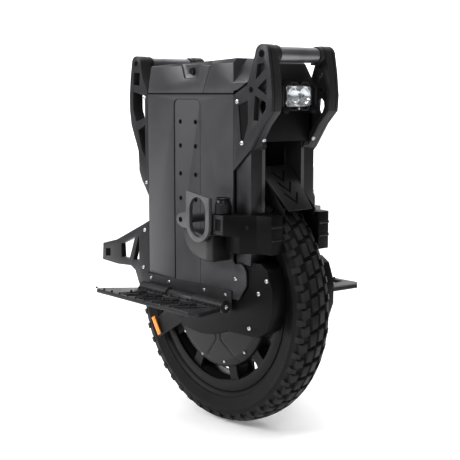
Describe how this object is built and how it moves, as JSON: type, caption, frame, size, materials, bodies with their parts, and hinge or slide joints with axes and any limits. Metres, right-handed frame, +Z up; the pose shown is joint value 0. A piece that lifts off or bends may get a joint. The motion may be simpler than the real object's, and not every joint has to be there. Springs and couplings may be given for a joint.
{
  "type": "electric unicycle",
  "caption": "Self-balancing electric unicycle: one wide hub-motor wheel in a sprung chassis with battery boxes, carry bars, headlight and folding pedals.",
  "frame": {"origin": "ground contact of the tyre, below the wheel's centre", "axes": "+Z up, +X along the axle to the rider's left, -Y forward"},
  "size_m": [0.4382, 0.5728, 0.734],
  "materials": {
    "tyre_rubber": "matt moulded rubber",
    "cast_alloy": "satin black powder coat on cast alloy",
    "panel_paint": "satin dark grey powder coat",
    "black_plastic": "fine moulded texture",
    "bar_alloy": "dark anodised",
    "plate_alloy": "bead-blasted grey anodised",
    "heat_sink_alloy": "extruded",
    "steel": "turned",
    "spring_steel": "coated spring wire",
    "shock_black": "anodised",
    "copper": "enamelled copper windings",
    "battery_wrap": "moulded case",
    "amber": "clear amber reflector",
    "lens": "clear",
    "rubber": "matt"
  },
  "bodies": {
    "chassis": {"battery_box_left": "battery_wrap", "battery_box_right": "battery_wrap", "side_panel_left": "panel_paint", "side_panel_right": "panel_paint", "front_arm_left": "cast_alloy", "front_arm_right": "cast_alloy", "rear_arm_left": "cast_alloy", "rear_arm_right": "cast_alloy", "front_bar": "bar_alloy", "rear_bar": "bar_alloy", "top_tray": "black_plastic", "top_cover_front": "panel_paint", "top_cover_rear": "panel_paint", "controller_heat_sink": "heat_sink_alloy", "front_panel": "black_plastic", "rear_panel": "black_plastic", "wheel_liner": "black_plastic", "leg_pad_left": "black_plastic", "leg_pad_right": "black_plastic", "lashing_plate": "plate_alloy", "rear_bracket_left": "cast_alloy", "rear_bracket_right": "cast_alloy", "pedal_bracket_left": "cast_alloy", "pedal_bracket_right": "cast_alloy", "hinge_pin_left": "steel", "hinge_pin_right": "steel", "shock_body_left": "shock_black", "shock_body_right": "shock_black"},
    "carriage": {"axle_housing_left": "black_plastic", "axle_housing_right": "black_plastic", "fork_leg_left": "bar_alloy", "fork_leg_right": "bar_alloy", "fork_clamp_left": "cast_alloy", "fork_clamp_right": "cast_alloy", "shock_reservoir_left": "black_plastic", "shock_reservoir_right": "black_plastic", "fork_brace": "cast_alloy", "mudguard": "black_plastic", "side_marker_left": "amber", "side_marker_right": "amber", "shock_rod_left": "steel", "shock_rod_right": "steel", "shock_spring_left": "spring_steel", "shock_spring_right": "spring_steel", "axle": "steel", "stator": "copper"},
    "wheel": {"tyre": "tyre_rubber", "rim": "cast_alloy", "magnet_ring": "steel", "motor_cover_left": "black_plastic", "motor_cover_right": "black_plastic", "bearing_left": "steel", "bearing_right": "steel"},
    "pedal_left": {"pedal_left": "cast_alloy"},
    "pedal_right": {"pedal_right": "cast_alloy"},
    "headlight": {"headlight_housing": "black_plastic", "headlight_lens": "lens"},
    "power_button": {"power_button": "steel"},
    "charge_port_cover": {"charge_port_cover": "rubber"}
  },
  "joints": [
    {"name": "suspension", "type": "slide", "parent": "chassis", "child": "carriage", "axis": [0, 0, 1], "range_m": [0, 0.07], "stiffness_N_per_m": 20000, "springref_m": -0.01, "deforming": ["shock_spring_left", "shock_spring_right"]},
    {"name": "wheel_spin", "type": "hinge", "parent": "carriage", "child": "wheel", "pos_m": [0, 0, 0.25176], "axis": [1, 0, 0], "continuous": true},
    {"name": "pedal_fold_left", "type": "hinge", "parent": "chassis", "child": "pedal_left", "pos_m": [0.097, 0, 0.257], "axis": [0, -1, 0], "range_deg": [0, 50]},
    {"name": "pedal_fold_right", "type": "hinge", "parent": "chassis", "child": "pedal_right", "pos_m": [-0.097, 0, 0.257], "axis": [0, 1, 0], "range_deg": [0, 50]},
    {"name": "headlight_tilt", "type": "hinge", "parent": "chassis", "child": "headlight", "pos_m": [0, -0.158, 0.655], "axis": [1, 0, 0], "range_deg": [-10, 10]},
    {"name": "power_button_press", "type": "slide", "parent": "chassis", "child": "power_button", "axis": [1, 0, 0], "range_m": [0, 0.002], "stiffness_N_per_m": 500},
    {"name": "charge_cover_open", "type": "hinge", "parent": "chassis", "child": "charge_port_cover", "pos_m": [0, 0.1562, 0.561], "axis": [-1, 0, 0], "range_deg": [0, 110]}
  ]
}
